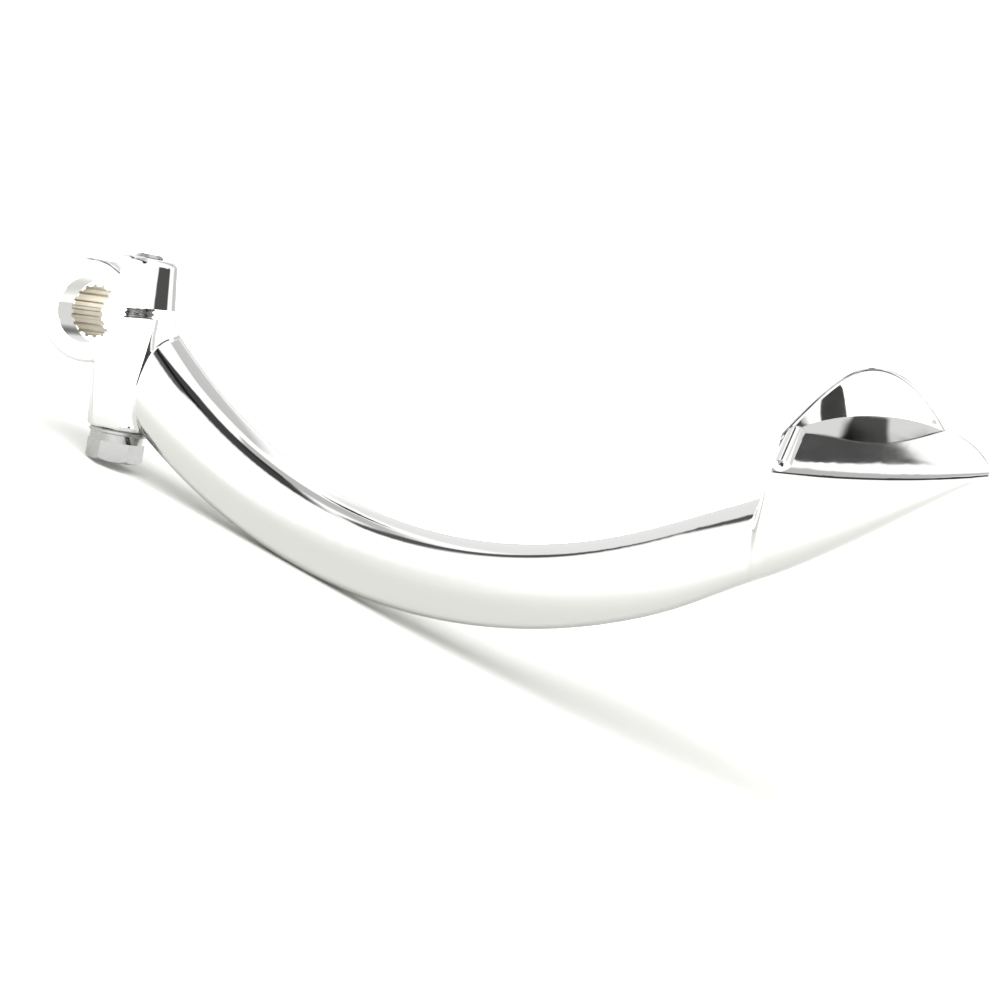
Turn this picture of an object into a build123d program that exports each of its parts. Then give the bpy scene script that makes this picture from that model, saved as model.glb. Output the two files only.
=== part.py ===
"""Kick start lever: splined split clamp, bowed arm and dished foot pad in one forging, with its pinch bolt.

Millimetres and degrees. The origin is on the bore's axis, half way along it. +Y runs along the bore
towards the engine, +Z runs up the pinch bolt and +X points from the bore towards the foot pad.
"""

import os
from math import cos, pi, radians, sin, sqrt, tan

from build123d import *

# Clamp ring, its splined bore and its slit
RING_RADIUS = 13.7
RING_WIDTH = 21.0
RING_EDGE = 0.8
ENTRY_RADIUS = 8.6
ENTRY_DEPTH = 4.2
SPLINE_TIP_RADIUS = 6.5
SPLINE_DEPTH = 0.55
SPLINE_COUNT = 18
SPLINE_TIP_SHARE = 0.45
SPLINE_ROOT_SHARE = 0.30
GROOVE_START_RADIUS = 5.2
SLIT_WIDTH = 2.6
SLIT_TILT = 7.0

# Pinch bolt and washers
BOLT_RADIUS = 4.0
BOLT_LENGTH = 50.0
BOLT_CHAMFER = 0.9
HEX_ACROSS_FLATS = 13.0
HEX_HEIGHT = 5.3
HEX_CHAMFER_ANGLE = 30.0
HEX_SIDES = 6
HEX_TURN = 24.0
FLAT_WASHER_RADIUS = 7.7
FLAT_WASHER_THICKNESS = 1.2
FLAT_WASHER_EDGE = 0.3
SPRING_WASHER_RADIUS = 7.2
SPRING_WASHER_THICKNESS = 2.0
SPRING_WASHER_SPLIT = 1.2
SPRING_WASHER_SLANT = 25.0
SPRING_WASHER_TURN = -39.0
WASHER_CLEARANCE = 0.2
BOLT_HOLE_CLEARANCE = 0.2
THREAD_CLEARANCE = 0.05

# Pinch bosses, drafted towards their ends and ground flush with the ring's front
BOLT_OFFSET = 11.3
BOLT_SETBACK = 7.5
UPPER_HEIGHT = 16.4
UPPER_RADIUS = 7.6
UPPER_ROOT_RADIUS = 9.6
UPPER_ROUND = 2.2
LOWER_HEIGHT = 29.4
LOWER_RADIUS = 8.5
LOWER_ROOT_RADIUS = 11.3
LOWER_ROUND = 1.4
SEAT_CLEARANCE = 0.4
ROOT_BLEND = 1.2

# Arm: its line is a circular arc seen from the side, then a straight run that ends at the pad's tip.
# Sizes in threes are at the hub, half way and at the neck.
ARM_ROOT_X = 3.5
ARM_ROOT_Z = -3.0
ARM_RADIUS = 141.5
ARM_START_ANGLE = -47.0
ARM_END_ANGLE = 29.23
ARM_RUN = 72.7
ARM_BOW = 31.0
ARM_TOPS = (13.2, 11.3, 9.4)
ARM_BOTTOMS = (9.8, 9.2, 8.6)
ARM_THICKNESSES = (20.0, 12.2, 13.0)
ARM_CREASES = (0.75, 0.86, 0.88)
ARM_BELLIES = (0.80, 0.62, 0.60)
ARM_STATIONS = 18
ARM_CROWDING = 2.0
NECK_STATIONS = 8
PAD_STATIONS = 14
PAD_CROWDING = 1.5

# Foot pad: a leaf-shaped dished deck that leans towards the rider, with a flared flange along its far edge.
# Widths are measured to each side of the arm's line.
PAD_PITCH = 5.0
PAD_LEAN = 33.0
PAD_LENGTH = 47.2
PAD_WIDEST = 21.5
PAD_STERN_NEAR_REACH = 11.0
PAD_STERN_FAR_REACH = 8.0
PAD_NEAR_REACH = 9.5
PAD_FAR_REACH = 18.4
PAD_TIP_NEAR_REACH = 3.2
PAD_TIP_FAR_REACH = 0.2
PAD_TIP_THICKNESS = 2.4
PAD_EDGE = 1.0
PAD_FAR_BELLY = 0.35
PAD_RIM = 0.9
PAD_DISH = 2.0
PAD_DISH_RADIUS = 150.0
PAD_LIP_RADIUS = 2.6
PAD_LIP_RISE = 1.2
PAD_LIP_SETBACK = 1.8
KEEL_FULLNESS = 1.6
NECK_LENGTH = 4.5
TURN_LENGTH = 45.0
FLANGE_HEIGHT = 10.2
FLANGE_START = -1.2
FLANGE_PEAK = 17.0
FLANGE_END = 34.9
FLANGE_RISE = 38.0
FLANGE_FALL = 46.0
FLANGE_THICKNESS = 2.0
FLANGE_FLARE = 18.0
FLANGE_SETBACK = 0.2
FLANGE_ROUND = 0.8

FRONT = -RING_WIDTH / 2
BACK = RING_WIDTH / 2
BOLT_Y = FRONT + BOLT_SETBACK
FLAT_WASHER_TOP = -LOWER_HEIGHT
SPRING_WASHER_TOP = FLAT_WASHER_TOP - FLAT_WASHER_THICKNESS
HEAD_TOP = SPRING_WASHER_TOP - SPRING_WASHER_THICKNESS
HEAD_BOTTOM = HEAD_TOP - HEX_HEIGHT
SLIT_AT_BOLT = BOLT_OFFSET * tan(radians(SLIT_TILT))
ROOM = 2 * LOWER_HEIGHT

OUTWARD = Vector(0, -1, 0)
UP = (Align.CENTER, Align.CENTER, Align.MIN)
DOWN = (Align.CENTER, Align.CENTER, Align.MAX)
BOLT_PLACE = Pos(BOLT_OFFSET, BOLT_Y, 0)


def through(values, share):
    """Smooth value at a share of the way, from the values at the start, the middle and the end."""
    start, middle, end = values
    return (start * (2 * share - 1) * (share - 1) + middle * 4 * share * (1 - share)
            + end * share * (2 * share - 1))


def ease(value, start, end):
    """Smooth rise from 0 at the start to 1 at the end."""
    share = min(max((value - start) / (end - start), 0.0), 1.0)
    return share * share * (3 - 2 * share)


def mix(first, second, share):
    """Value a share of the way from the first to the second."""
    return first + (second - first) * share


def spread(start, end, count):
    """Evenly spaced values from the start up to, but not including, the end."""
    return [mix(start, end, i / count) for i in range(count)]


def forward_at(pitch):
    """Direction along the lever where it climbs by the pitch."""
    return Vector(cos(radians(pitch)), 0, sin(radians(pitch)))


# The pad's tip is at the end of the arm's line
pad_forward = forward_at(PAD_PITCH)
pad_inward = Vector(-pad_forward.Z, 0, pad_forward.X)
pad_top = pad_inward * cos(radians(PAD_LEAN)) + OUTWARD * sin(radians(PAD_LEAN))
arc_centre_x = ARM_ROOT_X - ARM_RADIUS * sin(radians(ARM_START_ANGLE))
arc_centre_z = ARM_ROOT_Z + ARM_RADIUS * cos(radians(ARM_START_ANGLE))
arc_length = ARM_RADIUS * radians(ARM_END_ANGLE - ARM_START_ANGLE)
arm_length = arc_length + ARM_RUN
stern_at = arm_length - PAD_LENGTH / cos(radians(ARM_END_ANGLE - PAD_PITCH))


def arm_angle(length):
    """Angle of climb of the arm's line, at a length along it."""
    return mix(ARM_START_ANGLE, ARM_END_ANGLE, min(length / arc_length, 1.0))


def arm_point(length):
    """Point on the arm's line, at a length along it."""
    angle = radians(arm_angle(length))
    run = max(length - arc_length, 0.0)
    return Vector(
        arc_centre_x + ARM_RADIUS * sin(angle) + run * cos(angle),
        -ARM_BOW * ease(length, 0, stern_at),
        arc_centre_z - ARM_RADIUS * cos(angle) + run * sin(angle),
    )


# Deck of the pad: local x runs from its stern to its tip, local y towards its far edge
pad_origin = arm_point(arm_length) - pad_forward * PAD_LENGTH + pad_inward * (PAD_TIP_THICKNESS / 2)
deck_plane = Plane(origin=pad_origin, x_dir=pad_forward, z_dir=pad_top)


def leaf_edge(side, stern, widest, tip):
    """Arc of the deck's edge on one side, from the stern past its widest place to the tip."""
    return ThreePointArc((0, side * stern), (PAD_WIDEST, side * widest), (PAD_LENGTH, side * tip))


near_edge = leaf_edge(-1, PAD_STERN_NEAR_REACH, PAD_NEAR_REACH, PAD_TIP_NEAR_REACH)
far_edge = leaf_edge(1, PAD_STERN_FAR_REACH, PAD_FAR_REACH, PAD_TIP_FAR_REACH)


def reach(edge, side, along):
    """Width of the deck to one side, at a distance from its stern."""
    offset_x = min(max(along, 0.0), PAD_LENGTH) - edge.arc_center.X
    return side * edge.arc_center.Y + sqrt(edge.radius ** 2 - offset_x ** 2)


def section(plane, quarters):
    """Closed section of four curves, each drawn from its start to its end and pulled towards its corner."""
    edges = []
    for i, (start, corner, pull) in enumerate(quarters):
        end = quarters[(i + 1) % len(quarters)][0]
        leave = tuple(mix(s, c, pull) for s, c in zip(start, corner))
        arrive = tuple(mix(e, c, pull) for e, c in zip(end, corner))
        edges.append(Bezier(start, leave, arrive, end))
    return plane * make_face(Wire(edges))


def lever_section(length):
    """Section of the arm at a length along its line, or of the pad's hull past the neck."""
    point = arm_point(length)
    share = min(length / stern_at, 1.0)
    neck = ease(length, stern_at - NECK_LENGTH, stern_at)
    turn = ease(length, stern_at - TURN_LENGTH, stern_at)
    taper = (max(length - stern_at, 0.0) / (arm_length - stern_at)) ** KEEL_FULLNESS
    tilt = radians(PAD_LEAN * share)
    to_deck = pad_origin - point
    along = -to_deck.dot(pad_forward)
    half = through(ARM_THICKNESSES, share) / 2
    near = mix(half, reach(near_edge, -1, along) * cos(tilt), neck)
    far = mix(half, reach(far_edge, 1, along) * cos(tilt), neck)
    top = mix(through(ARM_TOPS, share), to_deck.dot(pad_inward), neck)
    bottom = mix(through(ARM_BOTTOMS, share), PAD_TIP_THICKNESS / 2, taper)
    near_corner = top - near * tan(tilt)
    far_corner = top + far * tan(tilt)
    crease = through(ARM_CREASES, share)
    belly = through(ARM_BELLIES, share)
    forward = forward_at(mix(arm_angle(length), PAD_PITCH, turn))
    quarters = (
        ((0, top), (near, near_corner), crease),
        ((near, mix(0, near_corner - PAD_EDGE, neck)), (near, -bottom), belly),
        ((0, -bottom), (-far, -bottom), mix(belly, PAD_FAR_BELLY, neck)),
        ((-far, mix(0, far_corner - PAD_EDGE, neck)), (-far, far_corner), crease),
    )
    return section(Plane(origin=point, x_dir=OUTWARD, z_dir=-forward), quarters)


def make_arm():
    """Arm and hull of the pad as one loft, with stations that draw closer towards the neck's step."""
    neck_start = stern_at - NECK_LENGTH
    pad_run = arm_length - stern_at
    lengths = [neck_start * (1 - (1 - share) ** ARM_CROWDING) for share in spread(0, 1, ARM_STATIONS)]
    lengths += spread(neck_start, stern_at, NECK_STATIONS)
    lengths += [stern_at + pad_run * share**PAD_CROWDING for share in spread(0, 1, PAD_STATIONS)]
    return loft([lever_section(length) for length in lengths + [arm_length]])


def leaf(inset):
    """Outline of the deck, drawn in by an inset."""
    tip = Line(near_edge @ 1, far_edge @ 1)
    stern = Line(far_edge @ 0, near_edge @ 0)
    return offset(make_face([near_edge, tip, far_edge, stern]), -inset, kind=Kind.INTERSECTION)


def make_dish():
    """Hollow of the deck: the leaf inside the rim, with a shallow spherical floor."""
    middle_y = (PAD_FAR_REACH - PAD_NEAR_REACH) / 2
    ball = Pos(PAD_WIDEST, middle_y, PAD_DISH_RADIUS - PAD_DISH) * Sphere(PAD_DISH_RADIUS)
    prism = extrude(leaf(PAD_RIM), 2 * PAD_DISH, both=True)
    return deck_plane * (prism & ball)


def make_flange():
    """Flared wall along the far edge of the deck, rising to a rounded peak."""
    lift = PAD_DISH + FLANGE_HEIGHT
    spread_out = lift * tan(radians(FLANGE_FLARE))
    base = far_edge.radius - FLANGE_SETBACK - PAD_DISH * tan(radians(FLANGE_FLARE))
    outer = Cone(base, base + spread_out, lift, align=UP)
    inner = Cone(base - FLANGE_THICKNESS, base - FLANGE_THICKNESS + spread_out, lift, align=UP)
    wall = Pos(far_edge.arc_center.X, far_edge.arc_center.Y, -PAD_DISH) * (outer - inner)
    crest = Spline(
        (FLANGE_START, 0), (FLANGE_PEAK, FLANGE_HEIGHT), (FLANGE_END, 0),
        tangents=((cos(radians(FLANGE_RISE)), sin(radians(FLANGE_RISE))), (1, 0),
                  (cos(radians(FLANGE_FALL)), -sin(radians(FLANGE_FALL)))),
    )
    foot = Polyline((FLANGE_END, 0), (FLANGE_END, -PAD_DISH), (FLANGE_START, -PAD_DISH), (FLANGE_START, 0))
    wall = wall & extrude(Plane.XZ * make_face([crest, foot]), -2 * PAD_FAR_REACH)
    return deck_plane * fillet(wall.edges().sort_by(Axis.Z)[-2:], FLANGE_ROUND)


def make_lip():
    """Rounded bead across the stern of the deck."""
    near_end = Vector(PAD_LIP_SETBACK, PAD_LIP_RADIUS - PAD_STERN_NEAR_REACH, PAD_LIP_RISE - PAD_LIP_RADIUS)
    far_end = Vector(PAD_LIP_SETBACK, PAD_STERN_FAR_REACH - PAD_LIP_RADIUS, PAD_LIP_RISE - PAD_LIP_RADIUS)
    bead = Solid.make_cylinder(
        PAD_LIP_RADIUS, (far_end - near_end).length, Plane(origin=near_end, z_dir=far_end - near_end)
    )
    for end in (near_end, far_end):
        bead += Pos(end) * Sphere(PAD_LIP_RADIUS)
    return deck_plane * bead


def make_hub():
    """Ring and pinch bosses, ground flush across the front."""
    ring = Rot(90, 0, 0) * Cylinder(RING_RADIUS, RING_WIDTH)
    upper = Cone(UPPER_ROOT_RADIUS, UPPER_RADIUS, UPPER_HEIGHT - SLIT_AT_BOLT, align=UP)
    upper = fillet(upper.edges().sort_by(Axis.Z)[-1], UPPER_ROUND)
    lower = Cone(LOWER_RADIUS, LOWER_ROOT_RADIUS, LOWER_HEIGHT + SLIT_AT_BOLT, align=DOWN)
    lower = fillet(lower.edges().sort_by(Axis.Z)[0], LOWER_ROUND)
    bosses = BOLT_PLACE * Pos(0, 0, SLIT_AT_BOLT) * (upper + lower)
    room = Pos(0, FRONT, 0) * Box(ROOM, ROOM, 2 * ROOM, align=(Align.CENTER, Align.MIN, Align.CENTER))
    hub = (ring + bosses) & room
    return fillet(hub.faces().sort_by(Axis.Y)[0].outer_wire().edges(), RING_EDGE)


def make_bore():
    """Splined bore through the ring with its plain entry at the front."""
    tooth = 2 * pi / SPLINE_COUNT
    groove_half = tooth * (1 - SPLINE_TIP_SHARE) / 2
    floor_half = tooth * SPLINE_ROOT_SHARE / 2
    root_radius = SPLINE_TIP_RADIUS + SPLINE_DEPTH
    corners = (
        (GROOVE_START_RADIUS, -groove_half), (SPLINE_TIP_RADIUS, -groove_half), (root_radius, -floor_half),
        (root_radius, floor_half), (SPLINE_TIP_RADIUS, groove_half), (GROOVE_START_RADIUS, groove_half),
    )
    groove = Polygon(*[(radius * cos(angle), radius * sin(angle)) for radius, angle in corners], align=None)
    profile = Circle(SPLINE_TIP_RADIUS) + PolarLocations(0, SPLINE_COUNT) * groove
    splines = extrude(Plane.XZ.offset(-BACK) * profile, RING_WIDTH)
    entry = Pos(0, FRONT, 0) * Rot(90, 0, 0) * Cylinder(ENTRY_RADIUS, ENTRY_DEPTH, align=DOWN)
    return splines + entry


def make_slit():
    """Gap that lets the clamp close, from the bore out past the bosses."""
    return Rot(0, -SLIT_TILT, 0) * Box(ROOM, ROOM, SLIT_WIDTH, align=(Align.MIN, Align.CENTER, Align.CENTER))


def make_bolt_holes():
    """Clearance hole up through the lower boss and threaded hole through the upper one."""
    clearance = Cylinder(BOLT_RADIUS + BOLT_HOLE_CLEARANCE, ROOM, align=DOWN)
    threaded = Cylinder(BOLT_RADIUS + THREAD_CLEARANCE, ROOM, align=UP)
    return BOLT_PLACE * (clearance + threaded)


def make_seat():
    """Room below the lower boss for the washers and the bolt's head, spot-faced into the arm's underside."""
    seat = Cylinder(FLAT_WASHER_RADIUS + SEAT_CLEARANCE, ROOM, align=DOWN)
    return BOLT_PLACE * Pos(0, 0, FLAT_WASHER_TOP) * seat


def make_lever():
    """Whole forging: clamp, arm and foot pad in one piece."""
    lever = make_hub() + make_arm()
    creases = lever.edges().filter_by_position(Axis.X, BOLT_OFFSET, BOLT_OFFSET + LOWER_ROOT_RADIUS)
    creases = creases.filter_by_position(Axis.Y, FRONT + RING_EDGE, BOLT_Y)
    creases = creases.filter_by_position(Axis.Z, FLAT_WASHER_TOP + LOWER_ROUND, 0)
    lever = fillet(creases, ROOT_BLEND)
    lever = lever - make_dish() + make_flange() + make_lip()
    return lever - make_bore() - make_slit() - make_bolt_holes() - make_seat()


def make_bolt():
    """Hexagon-headed pinch bolt, with its head below the lower boss."""
    corner_radius = HEX_ACROSS_FLATS / 2 / cos(pi / HEX_SIDES)
    corner_width = corner_radius - HEX_ACROSS_FLATS / 2
    corner_height = corner_width * tan(radians(HEX_CHAMFER_ANGLE))
    head = extrude(RegularPolygon(corner_radius, HEX_SIDES, rotation=HEX_TURN), HEX_HEIGHT)
    shank = Pos(0, 0, HEX_HEIGHT) * Cylinder(BOLT_RADIUS, BOLT_LENGTH, align=UP)
    shank = chamfer(shank.edges().sort_by(Axis.Z)[-1], BOLT_CHAMFER)
    turned = Cylinder(corner_radius, HEX_HEIGHT, align=UP)
    turned = chamfer(turned.edges().sort_by(Axis.Z)[0], corner_height, corner_width)
    return BOLT_PLACE * Pos(0, 0, HEAD_BOTTOM) * ((head & turned) + shank)


def make_flat_washer():
    """Plain washer under the lower boss."""
    disc = Cylinder(FLAT_WASHER_RADIUS, FLAT_WASHER_THICKNESS, align=DOWN)
    disc = chamfer(disc.edges(), FLAT_WASHER_EDGE)
    hole = Cylinder(BOLT_RADIUS + WASHER_CLEARANCE, ROOM)
    return BOLT_PLACE * Pos(0, 0, FLAT_WASHER_TOP) * (disc - hole)


def make_spring_washer():
    """Split washer between the flat washer and the bolt's head, shown closed up."""
    disc = Cylinder(SPRING_WASHER_RADIUS, SPRING_WASHER_THICKNESS)
    hole = Cylinder(BOLT_RADIUS + WASHER_CLEARANCE, ROOM)
    split = Box(ROOM, SPRING_WASHER_SPLIT, ROOM, align=(Align.MIN, Align.CENTER, Align.CENTER))
    split = Rot(SPRING_WASHER_SLANT, 0, 0) * split
    washer = Rot(0, 0, SPRING_WASHER_TURN) * (disc - hole - split)
    return BOLT_PLACE * Pos(0, 0, SPRING_WASHER_TOP - SPRING_WASHER_THICKNESS / 2) * washer


if __name__ == "__main__":
    os.makedirs("parts", exist_ok=True)
    export_step(make_lever(), "parts/kick_lever.step")
    export_step(make_bolt(), "parts/pinch_bolt.step")
    export_step(make_flat_washer(), "parts/flat_washer.step")
    export_step(make_spring_washer(), "parts/spring_washer.step")
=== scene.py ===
"""Kick start lever in a white studio: chromed forging, zinc-plated pinch bolt and two washers.

Blender units are metres. The sizes of the pieces are given in millimetres, as in the part's source,
and the row frame is the same: +Y along the bore towards the engine, +Z up the pinch bolt, and +X
towards the foot pad.
"""

import logging
import math
from dataclasses import dataclass, field
from enum import Enum

import bpy
import numpy as np
from mathutils import Matrix, Vector


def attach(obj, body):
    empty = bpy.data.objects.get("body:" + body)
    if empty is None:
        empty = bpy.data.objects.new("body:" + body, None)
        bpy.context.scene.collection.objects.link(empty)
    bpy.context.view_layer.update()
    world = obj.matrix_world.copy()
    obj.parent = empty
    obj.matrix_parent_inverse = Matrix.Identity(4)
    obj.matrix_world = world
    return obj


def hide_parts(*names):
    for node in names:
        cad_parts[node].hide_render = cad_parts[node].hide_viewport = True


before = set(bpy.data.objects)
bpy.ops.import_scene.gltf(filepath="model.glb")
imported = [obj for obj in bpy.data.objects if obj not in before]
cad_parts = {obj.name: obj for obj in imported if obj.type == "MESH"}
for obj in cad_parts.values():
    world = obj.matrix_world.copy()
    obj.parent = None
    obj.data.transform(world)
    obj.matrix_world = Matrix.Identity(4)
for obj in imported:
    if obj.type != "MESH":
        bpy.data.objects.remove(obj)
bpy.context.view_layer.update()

MM = 0.001
HALF_TURN = 180.0
FULL_TURN = 360.0
TINY = 1e-12
LOG = logging.getLogger("kick_lever")

Socket = bpy.types.NodeSocket
Pair = tuple[float, float]
Three = tuple[float, float, float]


class Plating(Enum):
    """Finishes of the part, by the record's material slots."""

    CHROME = "chrome_plate"
    ZINC = "zinc_plate"


@dataclass
class NodeBench:
    """One node tree, with short ways to set nodes into it and join them."""

    tree: bpy.types.NodeTree

    COLOUR_INPUTS = (6, 7)
    COLOUR_OUTPUT = 2

    def add(self, kind: str, **values: object) -> bpy.types.Node:
        """Set a node into the tree.

        Args:
            kind: Blender's name of the node type.
            values: Settings of the node, or values of its inputs where the name is an input's.

        Returns:
            The new node.
        """
        node = self.tree.nodes.new(kind)
        for name, value in values.items():
            if hasattr(node, name):
                setattr(node, name, value)
            else:
                node.inputs[name.replace("_", " ").title()].default_value = value
        return node

    def join(self, source: Socket, target: Socket) -> None:
        """Lead one node's output into another node's input."""
        self.tree.links.new(source, target)

    def axes(self, coordinates: str) -> bpy.types.Node:
        """Split a place into its X, Y and Z.

        Args:
            coordinates: Name of the texture coordinates that give the place.

        Returns:
            The node with the outputs X, Y and Z.
        """
        place = self.add("ShaderNodeTexCoord")
        node = self.add("ShaderNodeSeparateXYZ")
        self.join(place.outputs[coordinates], node.inputs[0])
        return node

    def math(
        self, operation: str, first: Socket | float, second: Socket | float | None = None
    ) -> Socket:
        """Work out one value from two.

        Args:
            operation: Name of the Math node's operation.
            first: A socket, or a plain number.
            second: A socket, a plain number, or nothing.

        Returns:
            The output socket.
        """
        node = self.add("ShaderNodeMath", operation=operation)
        for socket, value in zip(node.inputs, (first, second)):
            if isinstance(value, Socket):
                self.join(value, socket)
            elif value is not None:
                socket.default_value = value
        return node.outputs[0]

    def ramp(self, value: Socket, start: float, end: float) -> Socket:
        """Smooth rise from 0 to 1 while a value goes from start to end.

        Args:
            value: The socket that is read.
            start: Value at which the rise begins.
            end: Value at which it is complete.

        Returns:
            The output socket.
        """
        node = self.add("ShaderNodeMapRange", interpolation_type="SMOOTHSTEP")
        node.inputs["From Min"].default_value = start
        node.inputs["From Max"].default_value = end
        self.join(value, node.inputs["Value"])
        return node.outputs["Result"]

    def blend(self, share: Socket, first: Socket | Three, second: Socket | Three) -> Socket:
        """Blend two colours by a share.

        Args:
            share: Socket that is 0 for the first colour and 1 for the second.
            first: Colour as three numbers, or a socket.
            second: Colour as three numbers, or a socket.

        Returns:
            The output socket.
        """
        node = self.add("ShaderNodeMix", data_type="RGBA")
        self.join(share, node.inputs["Factor"])
        for number, value in zip(self.COLOUR_INPUTS, (first, second)):
            if isinstance(value, Socket):
                self.join(value, node.inputs[number])
            else:
                node.inputs[number].default_value = (*value, 1.0)
        return node.outputs[self.COLOUR_OUTPUT]

    def bump(self, height: Socket, strength: float, distance: float) -> Socket:
        """Tilt the surface's normal by a height.

        Args:
            height: Socket with the height, from 0 to 1.
            strength: Share of the effect.
            distance: Height in metres that 1 stands for.

        Returns:
            Socket with the normal.
        """
        node = self.add("ShaderNodeBump", strength=strength, distance=distance)
        self.join(height, node.inputs["Height"])
        return node.outputs["Normal"]


def blank_material(name: str) -> tuple[bpy.types.Material, NodeBench, bpy.types.Node]:
    """Make a material with an empty surface.

    Args:
        name: Name of the material.

    Returns:
        The material, its node bench and its Principled BSDF.
    """
    material = bpy.data.materials.new(name)
    material.use_nodes = True
    bench = NodeBench(material.node_tree)
    return material, bench, material.node_tree.nodes["Principled BSDF"]


class PlatingGroup:
    """Shared effect of a plated forging: cloudy polish, and the soft ripple of the metal below."""

    NAME = "plated_surface"
    INPUTS = ("Cloud Scale", "Ripple Scale", "Low", "High")
    OUTPUTS = ("Roughness", "Cloud", "Height")
    CLOUD_DETAIL = 5.0
    CLOUD_ROUGHNESS = 0.6
    CLOUD_EDGES = (0.32, 0.72)
    RIPPLE_DETAIL = 1.0

    @classmethod
    def tree(cls) -> bpy.types.NodeTree:
        """Give the shader node group, built once.

        Returns:
            The group, with the class's inputs and outputs.
        """
        if cls.NAME in bpy.data.node_groups:
            return bpy.data.node_groups[cls.NAME]
        group = bpy.data.node_groups.new(cls.NAME, "ShaderNodeTree")
        for way, names in (("INPUT", cls.INPUTS), ("OUTPUT", cls.OUTPUTS)):
            for name in names:
                group.interface.new_socket(name, in_out=way, socket_type="NodeSocketFloat")
        bench = NodeBench(group)
        given = bench.add("NodeGroupInput")
        result = bench.add("NodeGroupOutput")
        place = bench.add("ShaderNodeTexCoord")
        cloud = bench.add(
            "ShaderNodeTexNoise", detail=cls.CLOUD_DETAIL, roughness=cls.CLOUD_ROUGHNESS
        )
        bench.join(place.outputs["Object"], cloud.inputs["Vector"])
        bench.join(given.outputs["Cloud Scale"], cloud.inputs["Scale"])
        share = bench.ramp(cloud.outputs["Fac"], *cls.CLOUD_EDGES)
        spread = bench.math("SUBTRACT", given.outputs["High"], given.outputs["Low"])
        haze = bench.math("MULTIPLY", share, spread)
        rough = bench.math("ADD", haze, given.outputs["Low"])
        bench.join(rough, result.inputs["Roughness"])
        bench.join(share, result.inputs["Cloud"])
        ripple = bench.add("ShaderNodeTexNoise", detail=cls.RIPPLE_DETAIL)
        bench.join(place.outputs["Object"], ripple.inputs["Vector"])
        bench.join(given.outputs["Ripple Scale"], ripple.inputs["Scale"])
        bench.join(ripple.outputs["Fac"], result.inputs["Height"])
        return group

    @classmethod
    def place(
        cls, bench: NodeBench, clouds: float, ripples: float, low: float, high: float
    ) -> bpy.types.Node:
        """Set the group into a material.

        Args:
            bench: The material's node bench.
            clouds: Scale of the cloudy polish, per metre.
            ripples: Scale of the ripple, per metre.
            low: Roughness where the polish is best.
            high: Roughness where it is dullest.

        Returns:
            The group node.
        """
        node = bench.add("ShaderNodeGroup", node_tree=cls.tree())
        for name, value in zip(cls.INPUTS, (clouds, ripples, low, high)):
            node.inputs[name].default_value = value
        return node


@dataclass(frozen=True)
class ChromePlate:
    """Bright chrome over the polished forging, with the cutter's bare steel left in the splines."""

    tint: Three = (0.62, 0.62, 0.612)
    bare_tint: Three = (0.66, 0.62, 0.53)
    bare_shade: Three = (0.50, 0.46, 0.37)
    low: float = 0.03
    high: float = 0.07
    bare_roughness: float = 0.42
    spline_radius: float = 7.25
    spline_start: float = -6.1
    side_fade: float = 0.15
    front_fade: float = 0.25
    clouds: float = 60.0
    ripples: float = 45.0
    ripple_share: float = 0.03
    ripple_height: float = 0.4

    def bare_share(self, bench: NodeBench) -> Socket:
        """Mask of the cut splines: near the bore's axis, behind the teeth's plated front ends.

        Args:
            bench: The material's node bench.

        Returns:
            Socket that is 1 on the bare splines and 0 on the chrome.
        """
        axes = bench.axes("Object")
        flat = bench.add("ShaderNodeCombineXYZ")
        bench.join(axes.outputs["X"], flat.inputs["X"])
        bench.join(axes.outputs["Z"], flat.inputs["Z"])
        radius = bench.add("ShaderNodeVectorMath", operation="LENGTH")
        bench.join(flat.outputs[0], radius.inputs[0])
        edge, front = self.spline_radius * MM, self.spline_start * MM
        inside = bench.ramp(radius.outputs["Value"], edge + self.side_fade * MM, edge)
        behind = bench.ramp(axes.outputs["Y"], front, front + self.front_fade * MM)
        return bench.math("MULTIPLY", inside, behind)

    def material(self) -> bpy.types.Material:
        """Build the chrome's material.

        Returns:
            The material.
        """
        material, bench, surface = blank_material(Plating.CHROME.value)
        plate = PlatingGroup.place(bench, self.clouds, self.ripples, self.low, self.high)
        bare = self.bare_share(bench)
        steel = bench.blend(plate.outputs["Cloud"], self.bare_shade, self.bare_tint)
        bench.join(bench.blend(bare, self.tint, steel), surface.inputs["Base Color"])
        dull = bench.math("MULTIPLY", bare, self.bare_roughness)
        rough = bench.math("ADD", dull, plate.outputs["Roughness"])
        bench.join(rough, surface.inputs["Roughness"])
        surface.inputs["Metallic"].default_value = 1.0
        height = plate.outputs["Height"]
        normal = bench.bump(height, self.ripple_share, self.ripple_height * MM)
        bench.join(normal, surface.inputs["Normal"])
        return material


@dataclass(frozen=True)
class ZincPlate:
    """Satin zinc plating of the bolt and washers."""

    tint: Three = (0.40, 0.40, 0.40)
    shade: Three = (0.355, 0.355, 0.35)
    low: float = 0.22
    high: float = 0.30
    clouds: float = 260.0
    ripples: float = 900.0
    ripple_share: float = 0.05
    ripple_height: float = 0.05

    def material(self) -> bpy.types.Material:
        """Build the zinc's material.

        Returns:
            The material.
        """
        material, bench, surface = blank_material(Plating.ZINC.value)
        plate = PlatingGroup.place(bench, self.clouds, self.ripples, self.low, self.high)
        colour = bench.blend(plate.outputs["Cloud"], self.shade, self.tint)
        bench.join(colour, surface.inputs["Base Color"])
        bench.join(plate.outputs["Roughness"], surface.inputs["Roughness"])
        surface.inputs["Metallic"].default_value = 1.0
        height = plate.outputs["Height"]
        normal = bench.bump(height, self.ripple_share, self.ripple_height * MM)
        bench.join(normal, surface.inputs["Normal"])
        return material


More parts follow.
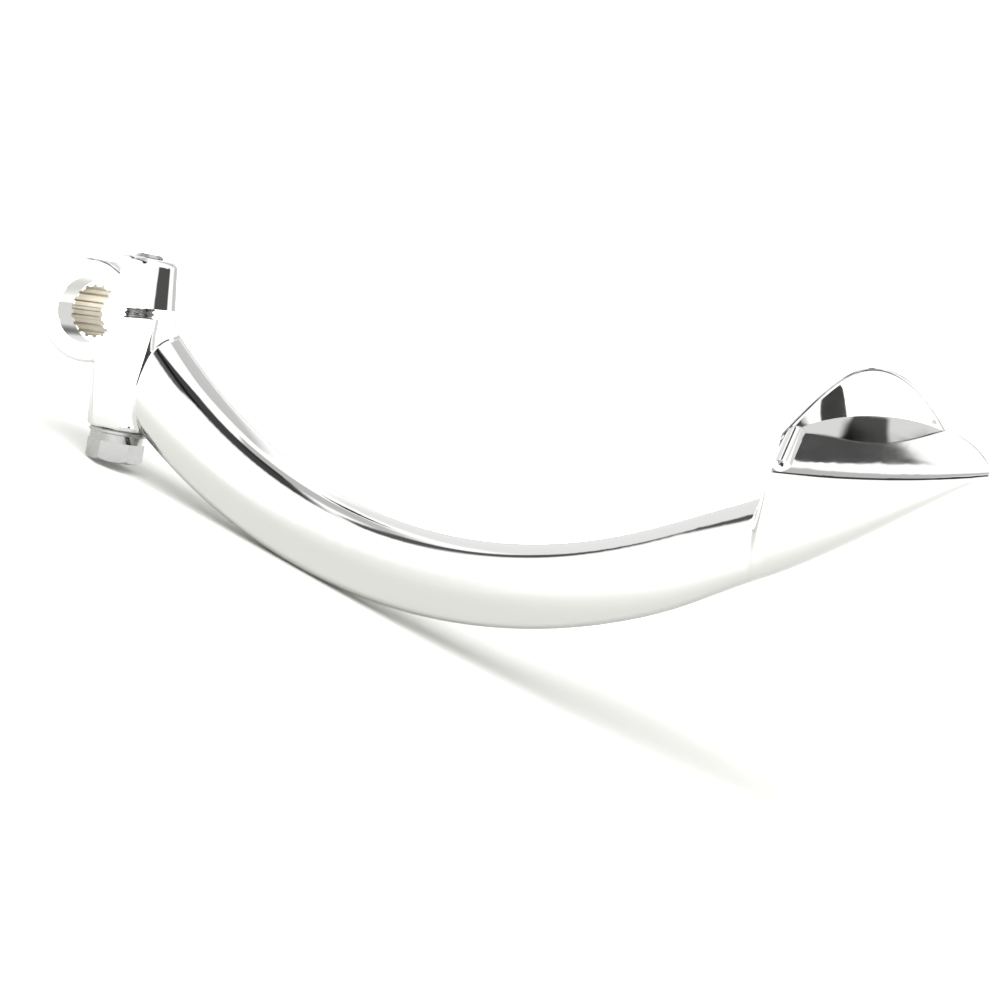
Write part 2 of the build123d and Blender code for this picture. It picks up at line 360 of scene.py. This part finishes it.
@dataclass(frozen=True)
class FloorPaper:
    """White paper of the studio floor, with painted light: it glows by emission away from the part,
    standing in for the light on a lit sweep.

    Seen from below it is clear, so that it hides nothing.
    """

    tint: Three = (0.92, 0.92, 0.885)
    roughness: float = 0.9
    middle: Pair = (0.12, -0.02)
    reach: Pair = (0.26, 0.085)
    dim: float = 0.2
    bright: float = 2.1
    painted_glow_strength: float = 1.6

    def painted_glow_share(self, bench: NodeBench) -> Socket:
        """Rise of the painted glow with the distance from the part, in ellipses round its middle.

        Args:
            bench: The material's node bench.

        Returns:
            Socket that is 0 beside the part and 1 far from it.
        """
        axes = bench.axes("Object")
        squares = []
        for name, middle, reach in zip("XY", self.middle, self.reach):
            aside = bench.math("SUBTRACT", axes.outputs[name], middle)
            share = bench.math("DIVIDE", aside, reach)
            squares.append(bench.math("MULTIPLY", share, share))
        distance = bench.math("SQRT", bench.math("ADD", *squares))
        return bench.ramp(distance, self.dim, self.bright)

    def material(self) -> bpy.types.Material:
        """Build the paper's material.

        Returns:
            The material.
        """
        material, bench, surface = blank_material("floor_paper")
        surface.inputs["Base Color"].default_value = (*self.tint, 1.0)
        surface.inputs["Roughness"].default_value = self.roughness
        surface.inputs["Specular IOR Level"].default_value = 0.0
        # Painted light: the paper's emission, rising away from the part, stands in for lamp light
        # on the floor.
        bench.join(self.painted_glow_share(bench), surface.inputs["Emission Color"])
        surface.inputs["Emission Strength"].default_value = self.painted_glow_strength
        clear = bench.add("ShaderNodeBsdfTransparent")
        choice = bench.add("ShaderNodeMixShader")
        facing = bench.add("ShaderNodeNewGeometry")
        bench.join(facing.outputs["Backfacing"], choice.inputs["Fac"])
        bench.join(surface.outputs[0], choice.inputs[1])
        bench.join(clear.outputs[0], choice.inputs[2])
        output = material.node_tree.nodes["Material Output"]
        bench.join(choice.outputs[0], output.inputs["Surface"])
        return material


@dataclass(frozen=True)
class BlackCard:
    """Dull black studio card."""

    tint: Three = (0.03, 0.03, 0.03)
    felt_share: float = 0.6
    low: float = 0.85
    high: float = 1.0
    clouds: float = 40.0
    ripples: float = 200.0

    def material(self) -> bpy.types.Material:
        """Build the card's material, with the faint mottle of its felt.

        Returns:
            The material.
        """
        material, bench, surface = blank_material("black_card")
        plate = PlatingGroup.place(bench, self.clouds, self.ripples, self.low, self.high)
        darker = tuple(self.felt_share * part for part in self.tint)
        colour = bench.blend(plate.outputs["Cloud"], darker, self.tint)
        bench.join(colour, surface.inputs["Base Color"])
        bench.join(plate.outputs["Roughness"], surface.inputs["Roughness"])
        return material


@dataclass(frozen=True)
class Flag:
    """Dark flag of the white room, with a soft edge.

    Its place is an azimuth from the front and an elevation, and its half size is across and upward,
    all in degrees. Its ends hang lower than its middle by the sag.
    """

    place: Pair
    half: Pair
    soft: float
    depth: float
    sag: float = 0.0

    def light(self, bench: NodeBench, azimuth: Socket, elevation: Socket) -> Socket:
        """Share of the room's light that the flag lets through.

        Args:
            bench: The world's node bench.
            azimuth: Socket with the direction's azimuth.
            elevation: Socket with the direction's elevation.

        Returns:
            Socket that is 1 outside the flag and falls by its depth inside.
        """
        (middle, height), (half_width, half_height) = self.place, self.half
        shifted = bench.math("ADD", azimuth, FULL_TURN + HALF_TURN - middle)
        turned = bench.math("FLOORED_MODULO", shifted, FULL_TURN)
        aside = bench.math("ABSOLUTE", bench.math("SUBTRACT", turned, HALF_TURN))
        square = bench.math("MULTIPLY", aside, aside)
        drop = bench.math("MULTIPLY", square, self.sag / half_width**2)
        level = bench.math("ADD", elevation, drop)
        above = bench.math("ABSOLUTE", bench.math("SUBTRACT", level, height))
        across = bench.ramp(aside, half_width + self.soft, half_width)
        upward = bench.ramp(above, half_height + self.soft, half_height)
        hidden = bench.math("MULTIPLY", bench.math("MULTIPLY", across, upward), self.depth)
        return bench.math("SUBTRACT", 1.0, hidden)


def grid_faces(rows: int, columns: int, wrap: bool) -> np.ndarray:
    """Quads of a grid of points, row by row.

    Args:
        rows: Number of rows of points.
        columns: Number of points in a row.
        wrap: Whether each row is closed into a ring.

    Returns:
        Array of four point numbers per face.
    """
    across = columns if wrap else columns - 1
    row, column = np.meshgrid(np.arange(rows - 1), np.arange(across), indexing="ij")
    after = (column + 1) % columns
    here, beyond = row * columns, (row + 1) * columns
    quads = [here + column, here + after, beyond + after, beyond + column]
    return np.stack(quads, axis=-1).reshape(-1, 4)


def mesh_points(mesh: bpy.types.Mesh) -> np.ndarray:
    """Read the points of a mesh.

    Args:
        mesh: The mesh, in metres.

    Returns:
        Array of points in millimetres.
    """
    places = np.empty(len(mesh.vertices) * 3, np.float32)
    mesh.vertices.foreach_get("co", places)
    return places.reshape(-1, 3) / MM


def surface_object(
    name: str, points: np.ndarray, faces: list[np.ndarray], sharp: float
) -> bpy.types.Object:
    """Put a surface into the scene.

    Args:
        name: Name of the piece.
        points: Array of points in millimetres, in the row frame.
        faces: Arrays of faces, each with its own number of corners.
        sharp: Angle in degrees above which an edge stays sharp.

    Returns:
        The new object, at the origin.
    """
    mesh = bpy.data.meshes.new(name)
    corners = [face for array in faces for face in array.tolist()]
    mesh.from_pydata((points.reshape(-1, 3) * MM).tolist(), [], corners)
    mesh.shade_smooth()
    mesh.set_sharp_from_angle(angle=math.radians(sharp))
    piece = bpy.data.objects.new(name, mesh)
    bpy.context.scene.collection.objects.link(piece)
    return piece


def ease(value: np.ndarray, start: float, end: float) -> np.ndarray:
    """Smooth rise from 0 at start to 1 at end: three squares less two cubes of the share."""
    share = np.clip((value - start) / (end - start), 0.0, 1.0)
    return share * share * (3 - 2 * share)


def through(values: Three, share: np.ndarray) -> np.ndarray:
    """Parabola through three values.

    It is the sum of the values, each times the parabola that is 1 at its own place and 0 at the
    other two.

    Args:
        values: Values at the start, half way and at the end.
        share: Shares of the way at which the parabola is wanted.

    Returns:
        The parabola's values.
    """
    start, middle, end = values
    first = start * (2 * share - 1) * (share - 1)
    return first + middle * 4 * share * (1 - share) + end * share * (2 * share - 1)


def mix(
    first: np.ndarray | float, second: np.ndarray | float, share: np.ndarray
) -> np.ndarray:
    """Value a share of the way from the first to the second."""
    return first + (second - first) * share


def unit(vectors: np.ndarray) -> np.ndarray:
    """Vectors divided by their lengths."""
    return vectors / (np.linalg.norm(vectors, axis=-1, keepdims=True) + TINY)


def edge_reach(points: tuple[Pair, ...], along: np.ndarray) -> np.ndarray:
    """Height of a circular arc through three points, at distances along its chord.

    The centre is where the two equations of equal distance from the points meet. The height is the
    centre's height plus the root of the radius squared less the distance from the centre squared.

    Args:
        points: The arc's start, its widest place and its end.
        along: Distances at which the height is wanted.

    Returns:
        The heights.
    """
    start, middle, end = np.array(points)
    sides = 2 * np.array([middle - start, end - start])
    squares = np.array([middle @ middle - start @ start, end @ end - start @ start])
    centre = np.linalg.solve(sides, squares)
    radius = np.linalg.norm(start - centre)
    place = np.clip(along, start[0], end[0])
    return centre[1] + np.sqrt(radius**2 - (place - centre[0]) ** 2)


@dataclass
class ArmForm:
    """True form of the bowed arm and the pad's hull: a profile carried along the arm's line."""

    root: Pair = (3.5, -3.0)
    radius: float = 141.5
    start_angle: float = -47.0
    end_angle: float = 29.23
    run: float = 72.7
    bow: float = 31.0
    tops: Three = (13.2, 11.3, 9.4)
    bottoms: Three = (9.8, 9.2, 8.6)
    thicknesses: Three = (20.0, 12.2, 13.0)
    creases: Three = (0.75, 0.86, 0.88)
    bellies: Three = (0.80, 0.62, 0.60)
    pad_pitch: float = 5.0
    pad_lean: float = 33.0
    pad_length: float = 47.2
    near_edge: tuple[Pair, ...] = ((0.0, 11.0), (21.5, 9.5), (47.2, 3.2))
    far_edge: tuple[Pair, ...] = ((0.0, 8.0), (21.5, 18.4), (47.2, 0.2))
    tip_thickness: float = 2.4
    pad_edge: float = 1.0
    far_belly: float = 0.35
    keel_fullness: float = 1.6
    neck_length: float = 4.5
    turn_length: float = 45.0
    rows: int = 1100
    quarter_columns: int = 120
    line_reach: float = 34.0
    out_of_reach: float = 1e3

    def whole(self) -> float:
        """Length of the arm's line up to the pad's tip."""
        return self.radius * math.radians(self.end_angle - self.start_angle) + self.run

    def stern(self) -> float:
        """Length of the arm's line up to the pad's stern."""
        slope = math.radians(self.end_angle - self.pad_pitch)
        return self.whole() - self.pad_length / math.cos(slope)

    def line(self, length: np.ndarray) -> tuple[np.ndarray, np.ndarray]:
        """The arm's line: an arc seen from the side, then a straight run, bowing outwards smoothly.

        Args:
            length: Lengths along the line.

        Returns:
            Points, and angles of climb in degrees.
        """
        arc = self.whole() - self.run
        angle = mix(self.start_angle, self.end_angle, np.minimum(length / arc, 1.0))
        climb, start = np.radians(angle), math.radians(self.start_angle)
        run = np.maximum(length - arc, 0.0)
        x = self.root[0] + self.radius * (np.sin(climb) - math.sin(start)) + run * np.cos(climb)
        z = self.root[1] - self.radius * (np.cos(climb) - math.cos(start)) + run * np.sin(climb)
        y = -self.bow * ease(length, 0.0, self.stern())
        return np.stack([x, y, z], axis=-1), angle

    def profiles(self, length: np.ndarray, point: np.ndarray) -> np.ndarray:
        """Profiles in planes square to the line, each of four cubic curves.

        A curve leaves its start towards a corner and reaches its end from that corner, by a share
        that sets how tight the corner is. At the neck the profile grows into the pad's edges and
        deck.

        Args:
            length: Lengths along the line.
            point: Points of the line at those lengths.

        Returns:
            Distances aside of the line and above it, by length and by place round the profile.
        """
        stern = self.stern()
        share = np.minimum(length / stern, 1.0)
        neck = ease(length, stern - self.neck_length, stern)
        taper = (np.maximum(length - stern, 0.0) / (self.whole() - stern)) ** self.keel_fullness
        tilt = np.radians(self.pad_lean * share)
        pitch = math.radians(self.pad_pitch)
        ahead = np.array([math.cos(pitch), 0.0, math.sin(pitch)])
        inward = np.array([-math.sin(pitch), 0.0, math.cos(pitch)])
        deck = point[-1] - ahead * self.pad_length + inward * self.tip_thickness / 2
        to_deck = deck - point
        along = -(to_deck @ ahead)
        half = through(self.thicknesses, share) / 2
        near = mix(half, edge_reach(self.near_edge, along) * np.cos(tilt), neck)
        far = mix(half, edge_reach(self.far_edge, along) * np.cos(tilt), neck)
        top = mix(through(self.tops, share), to_deck @ inward, neck)
        bottom = mix(through(self.bottoms, share), self.tip_thickness / 2, taper)
        near_corner, far_corner = top - near * np.tan(tilt), top + far * np.tan(tilt)
        near_side = mix(0.0, near_corner - self.pad_edge, neck)
        far_side = mix(0.0, far_corner - self.pad_edge, neck)
        crease, belly = through(self.creases, share), through(self.bellies, share)
        none = np.zeros_like(share)
        starts = [(none, top), (near, near_side), (none, -bottom), (-far, far_side)]
        corners = [(near, near_corner), (near, -bottom), (-far, -bottom), (-far, far_corner)]
        starts, corners = np.array(starts), np.array(corners)
        pulls = np.array([crease, belly, mix(belly, self.far_belly, neck), crease])[:, None]
        ends = np.roll(starts, -1, axis=0)
        leave, arrive = mix(starts, corners, pulls), mix(ends, corners, pulls)
        t = (np.arange(self.quarter_columns) / self.quarter_columns)[:, None, None, None]
        curve = (1 - t) ** 3 * starts + 3 * t * (1 - t) ** 2 * leave
        curve += 3 * t**2 * (1 - t) * arrive + t**3 * ends
        return curve.transpose(2, 3, 1, 0).reshape(2, len(length), -1)

    def surface(self) -> tuple[np.ndarray, np.ndarray, np.ndarray, np.ndarray]:
        """Points and normals of the form on a grid of lengths by places round the profile.

        A point is the line's point moved by the profile's distances. The normal is the cross
        product of the differences along the line and round the profile, turned away from the line.

        Returns:
            Points, normals, points of the line and directions of the line.
        """
        length = np.linspace(0.0, self.whole(), self.rows)
        point, angle = self.line(length)
        aside, above = self.profiles(length, point)
        turn = ease(length, self.stern() - self.turn_length, self.stern())
        climb = np.radians(mix(angle, self.pad_pitch, turn))
        level = np.zeros_like(climb)
        forward = np.stack([np.cos(climb), level, np.sin(climb)], axis=-1)
        rise = np.stack([-np.sin(climb), level, np.cos(climb)], axis=-1)
        outward = np.array([0.0, -1.0, 0.0])
        points = point[:, None] + aside[..., None] * outward + above[..., None] * rise[:, None]
        onward = np.gradient(points, axis=0)
        around = np.roll(points, -1, axis=1) - np.roll(points, 1, axis=1)
        normals = unit(np.cross(onward, around))
        painted_glow_share = np.sum(normals * (points - point[:, None]), axis=-1, keepdims=True)
        return points, normals * np.sign(painted_glow_share), point, forward

    def normals_at(self, places: np.ndarray) -> tuple[np.ndarray, np.ndarray]:
        """True normals of the form nearest to places on its surface.

        The row is the one whose plane holds the place, and the column is the nearest point in that
        row. The normal is blended between neighbouring columns by how far the place lies towards
        them.

        Args:
            places: Points in millimetres.

        Returns:
            Normals, and distances of the places from the surface.
        """
        points, normals, line, forward = self.surface()
        offset = np.abs(places @ forward.T - np.sum(line * forward, axis=1))
        apart = np.linalg.norm(places[:, None] - line[None], axis=2)
        offset += np.where(apart > self.line_reach, self.out_of_reach, 0.0)
        row = np.argmin(offset, axis=1)
        column = np.argmin(np.linalg.norm(points[row] - places[:, None], axis=2), axis=1)
        count = points.shape[1]
        before, after = (column - 1) % count, (column + 1) % count
        step = (points[row, after] - points[row, before]) / 2
        gap = places - points[row, column]
        share = np.sum(gap * step, axis=1) / (np.sum(step * step, axis=1) + TINY)
        share = np.clip(share, -1.0, 1.0)[:, None]
        change = (normals[row, after] - normals[row, before]) / 2
        blended = unit(normals[row, column] + share * change)
        return blended, np.abs(np.sum(gap * blended, axis=1))


@dataclass
class Lever:
    """Chromed forging: clamp, arm and foot pad, with the arm's true normals in its mesh."""

    node: str = "kick_lever"
    form: ArmForm = field(default_factory=ArmForm)
    on_form: float = 0.12
    along_form: float = 0.90
    digits: int = 4
    least_area: float = 1e-9

    def build(self) -> bpy.types.Object:
        """Merge a copy of the forging's triangles and give the arm's faces the form's normals.

        A face belongs to the arm where its three corners lie on the form and its own normal is near
        the form's.

        Returns:
            The piece, standing for the facetted solid.
        """
        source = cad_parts[self.node].data
        corners = np.empty(len(source.loops), np.int32)
        source.loops.foreach_get("vertex_index", corners)
        shading = np.empty(len(source.loops) * 3, np.float32)
        source.corner_normals.foreach_get("vector", shading)
        rounded = np.round(mesh_points(source), self.digits)
        whole, inverse = np.unique(rounded, axis=0, return_inverse=True)
        faces = inverse.reshape(-1)[corners].reshape(-1, 3)
        shading = shading.reshape(-1, 3, 3).astype(float)
        sides = whole[faces]
        flat = np.cross(sides[:, 1] - sides[:, 0], sides[:, 2] - sides[:, 0])
        area = np.linalg.norm(flat, axis=1)
        kept = area > self.least_area
        faces, shading, flat = faces[kept], shading[kept], flat[kept] / area[kept, None]
        normals, distance = self.form.normals_at(whole)
        on_arm = (distance[faces] < self.on_form).all(axis=1)
        agreed = np.einsum("fcx,fx->fc", normals[faces], flat)
        on_arm &= (agreed > self.along_form).all(axis=1)
        shading[on_arm] = normals[faces[on_arm]]
        piece = surface_object("kick_lever_polished", whole, [faces], sharp=HALF_TURN)
        piece.data.normals_split_custom_set(shading.reshape(-1, 3).tolist())
        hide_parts(self.node)
        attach(piece, "root")
        LOG.info("true normals on %d of %d faces of the forging", int(on_arm.sum()), len(faces))
        return piece

    def dress(self, piece: bpy.types.Object, chrome: bpy.types.Material) -> None:
        """Give the forging its chrome."""
        piece.data.materials.append(chrome)


@dataclass
class PinchBolt:
    """Hexagon-headed bolt with its cut thread, in place of the plain solid."""

    node: str = "pinch_bolt"
    axis_x: float = 11.3
    axis_y: float = -3.0
    head_bottom: float = -37.9
    head_height: float = 5.3
    flats: float = 13.0
    turn: float = 24.0
    chamfer_slope: float = 30.0
    face_share: float = 0.95
    shank_radius: float = 4.0
    shank_length: float = 50.0
    plain_length: float = 24.0
    tip_chamfer: float = 0.9
    pitch: float = 1.25
    thread_depth: float = 0.62
    flank_gain: float = 1.25
    crest_share: float = 0.125
    sharp: float = 24.0
    columns: int = 96
    rows_per_turn: int = 10

    def head_rings(self, angles: np.ndarray) -> np.ndarray:
        """Rings of the head: the face's edge, the chamfer's edge, the top and the shank's root.

        The radius of a hexagon at an angle is half its flats over the cosine of the angle from the
        nearest flat's middle. The chamfer's scalloped edge is where its cone meets the hexagon.

        Args:
            angles: Angle of each column.

        Returns:
            Array of rings by columns by radius and height.
        """
        sixth = math.pi / 3
        from_flat = (angles - math.radians(self.turn)) % sixth - sixth / 2
        hexagon = self.flats / 2 / np.cos(from_flat)
        face = self.flats / 2 * self.face_share
        rise = (hexagon - face) * math.tan(math.radians(self.chamfer_slope))
        level = np.ones_like(angles)
        rings = [
            (face * level, 0 * level),
            (hexagon, rise),
            (hexagon, self.head_height * level),
            (self.shank_radius * level, self.head_height * level),
        ]
        return np.array(rings).transpose(0, 2, 1)

    def shank_rings(self, angles: np.ndarray) -> np.ndarray:
        """Rings of the shank: plain, then threaded, then chamfered at the tip.

        The thread's radius is the shank's less its depth times a triangle wave of the turns
        climbed, cut flat at crest and root, which makes a helix. It never exceeds the cone of the
        tip's chamfer.

        Args:
            angles: Angle of each column.

        Returns:
            Array of rings by columns by radius and height.
        """
        threaded = self.shank_length - self.plain_length
        count = int(threaded / self.pitch * self.rows_per_turn)
        heights = np.linspace(self.plain_length, self.shank_length, count + 1)[:, None]
        turns = heights / self.pitch - angles[None, :] / (2 * math.pi)
        wave = np.abs(2 * (turns % 1.0) - 1)
        runout = np.clip((heights - self.plain_length) / self.pitch, 0, 1)
        groove = np.clip(self.flank_gain * wave - self.crest_share, 0, 1)
        radius = self.shank_radius - self.thread_depth * runout * groove
        cone = self.shank_radius - self.tip_chamfer + (self.shank_length - heights)
        radius = np.minimum(radius, cone)
        heights = np.broadcast_to(heights + self.head_height, radius.shape)
        return np.stack([radius, heights], axis=-1)

    def build(self) -> bpy.types.Object:
        """Build the bolt as one closed surface.

        Returns:
            The piece, standing for the plain solid.
        """
        angles = np.arange(self.columns) * 2 * math.pi / self.columns + math.radians(self.turn)
        rings = np.concatenate([self.head_rings(angles), self.shank_rings(angles)])
        x = self.axis_x + rings[..., 0] * np.cos(angles)
        y = self.axis_y + rings[..., 0] * np.sin(angles)
        z = self.head_bottom + rings[..., 1]
        body = np.stack([x, y, z], axis=-1).reshape(-1, 3)
        tip = self.head_bottom + self.head_height + self.shank_length
        poles = [(self.axis_x, self.axis_y, self.head_bottom), (self.axis_x, self.axis_y, tip)]
        points = np.concatenate([body, np.array(poles)])
        first = np.arange(self.columns)
        after = (first + 1) % self.columns
        last = (len(rings) - 1) * self.columns
        below = np.stack([after, first, np.full_like(first, len(body))], axis=-1)
        above = np.stack([last + first, last + after, np.full_like(first, len(body) + 1)], axis=-1)
        faces = [grid_faces(len(rings), self.columns, wrap=True), below, above]
        piece = surface_object("pinch_bolt_cut", points, faces, self.sharp)
        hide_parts(self.node)
        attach(piece, "root")
        return piece

    def dress(self, piece: bpy.types.Object, zinc: bpy.types.Material) -> None:
        """Give the bolt its zinc."""
        piece.data.materials.append(zinc)


@dataclass
class Washers:
    """Flat washer and split spring washer under the lower boss."""

    nodes: tuple[str, str] = ("flat_washer", "spring_washer")

    def dress(self, zinc: bpy.types.Material) -> list[bpy.types.Object]:
        """Give the washers their zinc.

        Args:
            zinc: The zinc's material.

        Returns:
            The dressed pieces.
        """
        pieces = [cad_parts[name] for name in self.nodes]
        for piece in pieces:
            piece.data.materials.clear()
            piece.data.materials.append(zinc)
        return pieces


@dataclass
class Studio:
    """White floor, white room with dark flags, one black card, a soft lamp and the camera."""

    floor_tilt: float = 12.83
    floor_reach: float = 6000.0
    floor_lines: int = 3
    sheet_sharp: float = 30.0
    camera_place: Three = (304.71, -573.81, 19.76)
    camera_yaw: float = 18.02
    camera_pitch: float = 4.38
    camera_roll: float = 10.89
    focal_share: float = 2.4061
    sensor: float = 36.0
    clip_end: float = 100.0
    flags: tuple[Flag, ...] = (
        Flag(place=(-12.0, 53.0), half=(27.0, 12.0), soft=8.0, depth=0.95),
        Flag(place=(2.0, 36.0), half=(12.0, 6.0), soft=5.0, depth=0.90),
        Flag(place=(-85.0, 56.0), half=(36.0, 2.3), soft=4.5, depth=0.92, sag=12.2),
        Flag(place=(-75.0, 82.0), half=(52.0, 18.0), soft=10.0, depth=0.55),
        Flag(place=(-143.0, 59.5), half=(6.2, 4.2), soft=0.6, depth=0.94),
        Flag(place=(-142.0, 34.0), half=(16.0, 10.0), soft=8.0, depth=0.30),
        Flag(place=(98.0, 8.0), half=(24.0, 10.0), soft=6.0, depth=0.93),
        Flag(place=(168.0, 45.0), half=(14.0, 16.0), soft=10.0, depth=0.50),
        Flag(place=(180.0, 4.0), half=(26.0, 12.0), soft=10.0, depth=0.50),
    )
    card_place: Three = (470.0, -203.0, -100.0)
    card_half: Pair = (105.0, 40.0)
    card_turn: float = 50.0
    room_light: float = 1.75
    fill_share: float = 0.35
    lamp_power: float = 20.5
    lamp_width: float = 1.35
    lamp_place: Three = (0.42, -0.76, 1.02)
    lamp_aim: Three = (0.12, 0.0, -0.03)

    def build_floor(self) -> bpy.types.Object:
        """Lay the floor as a plane that touches the lever's lowest point.

        Its height along its own normal is the least of the lever's points.

        Returns:
            The floor.
        """
        tilt = math.radians(self.floor_tilt)
        normal = np.array([math.sin(tilt), 0.0, math.cos(tilt)])
        along = np.array([math.cos(tilt), 0.0, -math.sin(tilt)])
        across = np.array([0.0, 1.0, 0.0])
        height = (mesh_points(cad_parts[Lever.node].data) @ normal).min()
        steps = np.linspace(-self.floor_reach, self.floor_reach, self.floor_lines)
        u, v = np.meshgrid(steps, steps, indexing="ij")
        points = height * normal + u[..., None] * across + v[..., None] * along
        faces = grid_faces(self.floor_lines, self.floor_lines, wrap=False)
        piece = surface_object("floor", points, [faces], self.sheet_sharp)
        piece.data.materials.append(FloorPaper().material())
        return piece

    def build_card(self) -> bpy.types.Object:
        """Stand a black card beside the pad, for the chrome alone: not seen, and casting no shadow.

        Returns:
            The card.
        """
        turn = math.radians(self.card_turn)
        width, height = self.card_half
        along = np.array([math.cos(turn), math.sin(turn), 0.0]) * width
        upward = np.array([0.0, 0.0, 1.0]) * height
        ends = np.array([-1.0, 1.0])
        u, v = np.meshgrid(ends, ends, indexing="ij")
        points = np.array(self.card_place) + u[..., None] * along + v[..., None] * upward
        faces = grid_faces(len(ends), len(ends), wrap=False)
        piece = surface_object("black_card", points, [faces], self.sheet_sharp)
        piece.data.materials.append(BlackCard().material())
        piece.visible_camera = False
        piece.visible_diffuse = False
        piece.visible_shadow = False
        return piece

    def build_room(self) -> bpy.types.World:
        """Fill the room with even white light, dimmed by the flags and for the floor's own light.

        Returns:
            The room's world.
        """
        world = bpy.data.worlds.new("white_room")
        world.use_nodes = True
        bench = NodeBench(world.node_tree)
        axes = bench.axes("Generated")
        front = bench.math("MULTIPLY", axes.outputs["Y"], -1.0)
        azimuth = bench.math("DEGREES", bench.math("ARCTAN2", axes.outputs["X"], front))
        elevation = bench.math("DEGREES", bench.math("ARCSINE", axes.outputs["Z"]))
        seen = bench.add("ShaderNodeLightPath")
        fill = bench.math("MULTIPLY", seen.outputs["Is Diffuse Ray"], 1.0 - self.fill_share)
        level = bench.math("SUBTRACT", 1.0, fill)
        for flag in self.flags:
            level = bench.math("MULTIPLY", level, flag.light(bench, azimuth, elevation))
        level = bench.math("MAXIMUM", level, seen.outputs["Is Camera Ray"])
        background = world.node_tree.nodes["Background"]
        bench.join(level, background.inputs["Color"])
        background.inputs["Strength"].default_value = self.room_light
        bpy.context.scene.world = world
        return world

    def build_lamp(self) -> bpy.types.Object:
        """Hang one wide soft lamp above, which the chrome doesn't mirror.

        Returns:
            The lamp.
        """
        lamp = bpy.data.lights.new("soft_lamp", "AREA")
        lamp.shape = "DISK"
        lamp.size = self.lamp_width
        lamp.energy = self.lamp_power
        holder = bpy.data.objects.new("soft_lamp", lamp)
        holder.location = self.lamp_place
        aim = Vector(self.lamp_place) - Vector(self.lamp_aim)
        holder.rotation_euler = aim.to_track_quat("Z", "Y").to_euler()
        holder.visible_glossy = False
        bpy.context.scene.collection.objects.link(holder)
        return holder

    def build_camera(self) -> bpy.types.Object:
        """Set the camera at the photograph's viewing angle.

        Returns:
            The camera.
        """
        yaw, pitch, roll = np.radians([self.camera_yaw, self.camera_pitch, self.camera_roll])
        flat = math.cos(pitch)
        back = np.array([math.sin(yaw) * flat, -math.cos(yaw) * flat, math.sin(pitch)])
        level = np.array([math.cos(yaw), math.sin(yaw), 0.0])
        rise = np.cross(back, level)
        right = math.cos(roll) * level + math.sin(roll) * rise
        up = math.cos(roll) * rise - math.sin(roll) * level
        lens = bpy.data.cameras.new("studio_camera")
        lens.sensor_width = self.sensor
        lens.lens = self.focal_share * self.sensor
        lens.clip_end = self.clip_end
        camera = bpy.data.objects.new("studio_camera", lens)
        place = np.array(self.camera_place) * MM
        turned = np.stack([right, up, back, place], axis=1)
        camera.matrix_world = Matrix(np.vstack([turned, (0, 0, 0, 1)]).tolist())
        bpy.context.scene.collection.objects.link(camera)
        bpy.context.scene.camera = camera
        return camera

    def build(self) -> None:
        """Build the whole studio."""
        self.build_floor()
        self.build_card()
        self.build_room()
        self.build_lamp()
        self.build_camera()
        bpy.context.scene.view_settings.view_transform = "Standard"


def write_sizes() -> None:
    """Bring the scene's view layer up to date."""
    bpy.context.view_layer.update()


def main() -> None:
    """Build the pieces in order and report each."""
    logging.basicConfig(level=logging.INFO, format="%(message)s")
    chrome = ChromePlate().material()
    zinc = ZincPlate().material()
    lever = Lever()
    polished = lever.build()
    lever.dress(polished, chrome)
    LOG.info("built %s", polished.name)
    bolt = PinchBolt()
    cut = bolt.build()
    bolt.dress(cut, zinc)
    LOG.info("built %s", cut.name)
    for washer in Washers().dress(zinc):
        LOG.info("dressed %s", washer.name)
    Studio().build()
    write_sizes()


if __name__ == "__main__":
    main()
